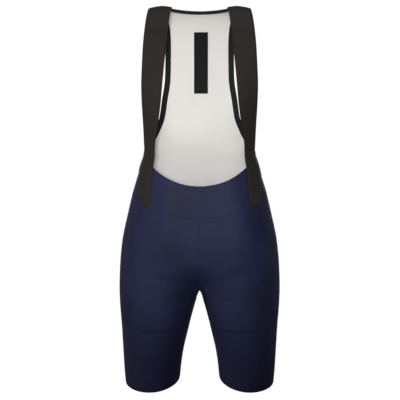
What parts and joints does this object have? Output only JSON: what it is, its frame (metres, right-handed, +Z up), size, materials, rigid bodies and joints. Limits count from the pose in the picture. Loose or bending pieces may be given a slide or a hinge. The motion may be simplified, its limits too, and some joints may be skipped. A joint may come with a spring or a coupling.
{
  "type": "cycling bib shorts",
  "caption": "Navy cycling bib shorts with a scooped stomach yoke, white mesh back, black bindings and ribbed shoulder straps, filled out as when worn.",
  "frame": {"origin": "midway between the two shoulders, level with the underside of the straps at their highest point", "axes": "+Z up, the front of the garment faces -Y, +X towards the right of the picture"},
  "size_m": [0.355, 0.2371, 0.8417],
  "materials": {
    "lycra": "smooth stretch knit, dark navy",
    "mesh": "fine open mesh knit, off-white",
    "elastic": "ribbed elastic webbing, black-brown",
    "binding": "folded stretch binding, black",
    "patch": "plain flat patch, black"
  },
  "bodies": {
    "root": {"front_yoke": "lycra", "thigh_front_left": "lycra", "thigh_front_right": "lycra", "seat_leg_left": "lycra", "seat_leg_right": "lycra", "crotch_gusset": "lycra", "back_mesh_panel": "mesh", "neck_binding": "binding", "armhole_binding_left": "binding", "armhole_binding_right": "binding", "strap_left": "elastic", "strap_right": "elastic", "back_patch": "patch"}
  },
  "joints": []
}
